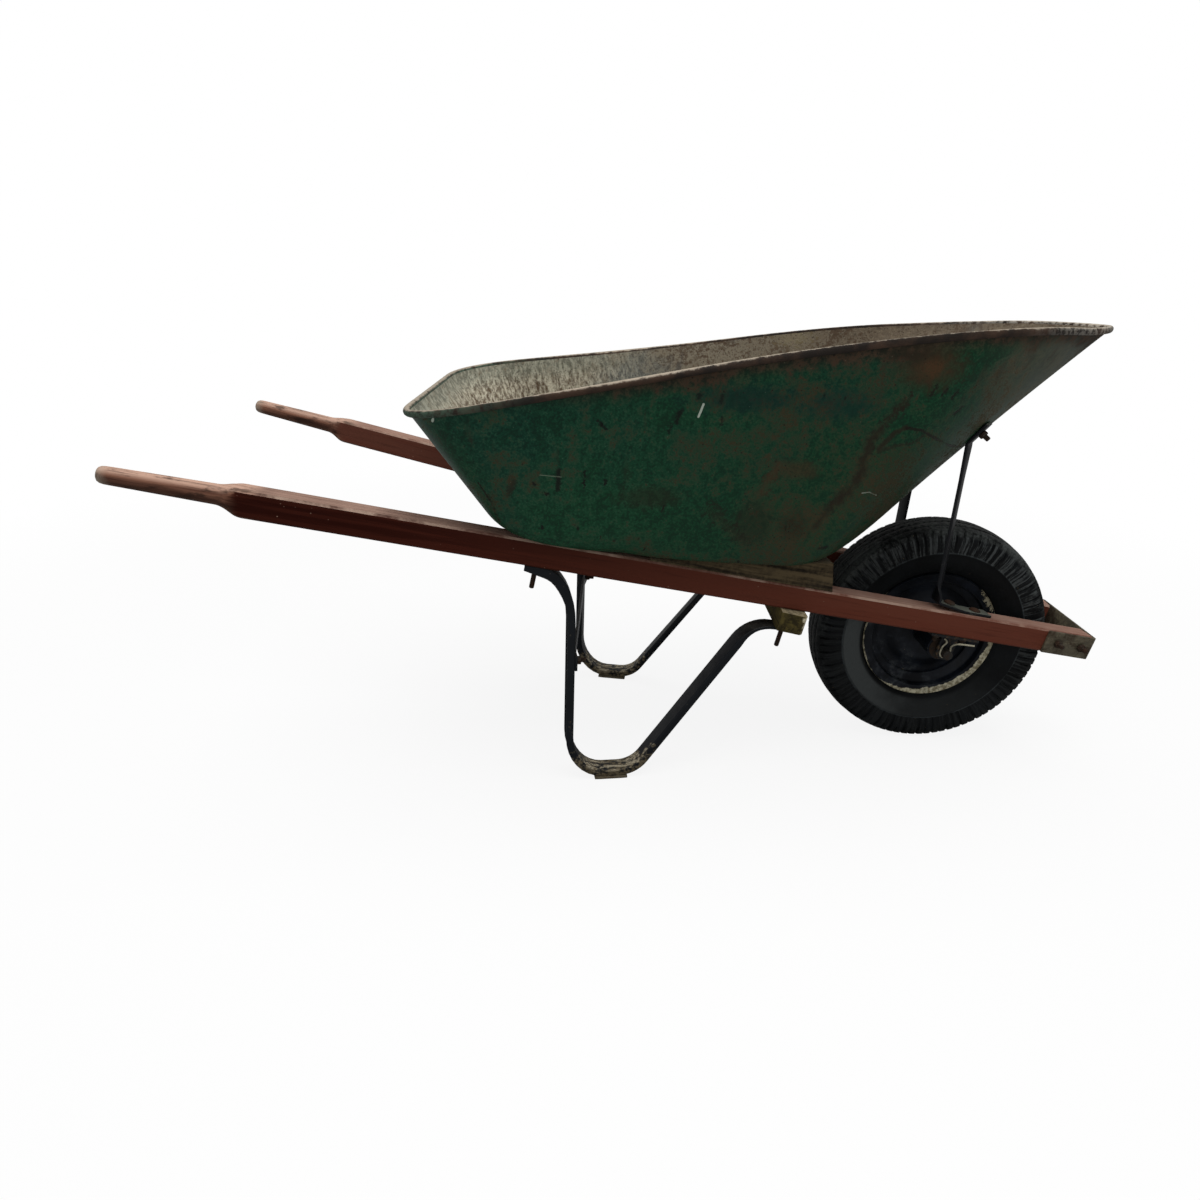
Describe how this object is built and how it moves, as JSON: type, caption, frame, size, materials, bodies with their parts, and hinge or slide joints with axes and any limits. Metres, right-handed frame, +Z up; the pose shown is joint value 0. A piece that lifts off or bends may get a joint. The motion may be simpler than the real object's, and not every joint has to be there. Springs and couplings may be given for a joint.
{
  "type": "wheelbarrow",
  "caption": "Old wheelbarrow: deep pressed steel tray on wooden shafts, bent channel legs, steel braces and a pneumatic wheel that spins; chipped paint, rust and dirt.",
  "frame": {"origin": "on the ground, under the middle of the whole barrow", "axes": "+X towards the wheel, +Y to the left of the person who pushes it, +Z up"},
  "size_m": [1.5154, 0.5862, 0.7289],
  "materials": {
    "tray_paint": "dark green paint, chipped, scratched and rusty, grey and dirty inside",
    "handle_paint": "red-brown painted wood, worn bare at the grips and dusty on top",
    "riser_wood": "grey-brown weathered wood with open grain and cracks",
    "bar_wood": "olive-brown weathered wood with a pale broken end",
    "leg_paint": "black paint, worn through at the feet",
    "brace_paint": "black paint, faded to grey-green on the foot",
    "bare_steel": "bare steel, dull with brown rust",
    "spring_wire": "dull spring wire",
    "rusty_fastener": "brown rust",
    "tyre_rubber": "black rubber with a dusty tread",
    "tube_rubber": "matt black rubber",
    "rim_paint": "navy-black paint, with a ragged ring of worn cream paint on the flange"
  },
  "bodies": {
    "frame": {"tray": "tray_paint", "leg_right": "leg_paint", "leg_left": "leg_paint", "handle_right": "handle_paint", "handle_left": "handle_paint", "axle": "bare_steel", "nose_strap": "bare_steel", "tray_brace_right": "brace_paint", "axle_clip_right": "spring_wire", "tray_brace_left": "brace_paint", "axle_clip_left": "spring_wire", "axle_bracket_right": "leg_paint", "axle_bracket_left": "leg_paint", "leg_brace": "leg_paint", "cross_bar": "bar_wood", "tray_rear_right_bolt": "rusty_fastener", "tray_front_right_bolt": "rusty_fastener", "axle_rear_right_bolt": "rusty_fastener", "axle_front_right_bolt": "rusty_fastener", "strap_rear_right_bolt": "rusty_fastener", "strap_front_right_bolt": "rusty_fastener", "tray_rear_left_bolt": "rusty_fastener", "tray_front_left_bolt": "rusty_fastener", "axle_rear_left_bolt": "rusty_fastener", "axle_front_left_bolt": "rusty_fastener", "strap_rear_left_bolt": "rusty_fastener", "strap_front_left_bolt": "rusty_fastener", "leg_brace_right_bolt": "rusty_fastener", "brace_top_right_bolt": "rusty_fastener", "leg_brace_left_bolt": "rusty_fastener", "brace_top_left_bolt": "rusty_fastener", "riser_right": "riser_wood", "tray_rear_right_nut": "rusty_fastener", "tray_front_right_nut": "rusty_fastener", "axle_rear_right_nut": "rusty_fastener", "axle_front_right_nut": "rusty_fastener", "strap_rear_right_nut": "rusty_fastener", "strap_front_right_nut": "rusty_fastener", "riser_left": "riser_wood", "tray_rear_left_nut": "rusty_fastener", "tray_front_left_nut": "rusty_fastener", "axle_rear_left_nut": "rusty_fastener", "axle_front_left_nut": "rusty_fastener", "strap_rear_left_nut": "rusty_fastener", "strap_front_left_nut": "rusty_fastener", "leg_brace_right_nut": "rusty_fastener", "brace_top_right_nut": "rusty_fastener", "leg_brace_left_nut": "rusty_fastener", "brace_top_left_nut": "rusty_fastener", "leg_shoe_right": "bare_steel", "leg_shoe_left": "bare_steel"},
    "wheel": {"tyre": "tyre_rubber", "inner_tube": "tube_rubber", "rim": "rim_paint", "hub": "rim_paint", "bearing_left": "bare_steel", "bearing_right": "bare_steel"}
  },
  "joints": [
    {"name": "wheel_spin", "type": "hinge", "parent": "frame", "child": "wheel", "pos_m": [0.49981, 0, 0.2015], "axis": [0, 1, 0], "continuous": true}
  ]
}
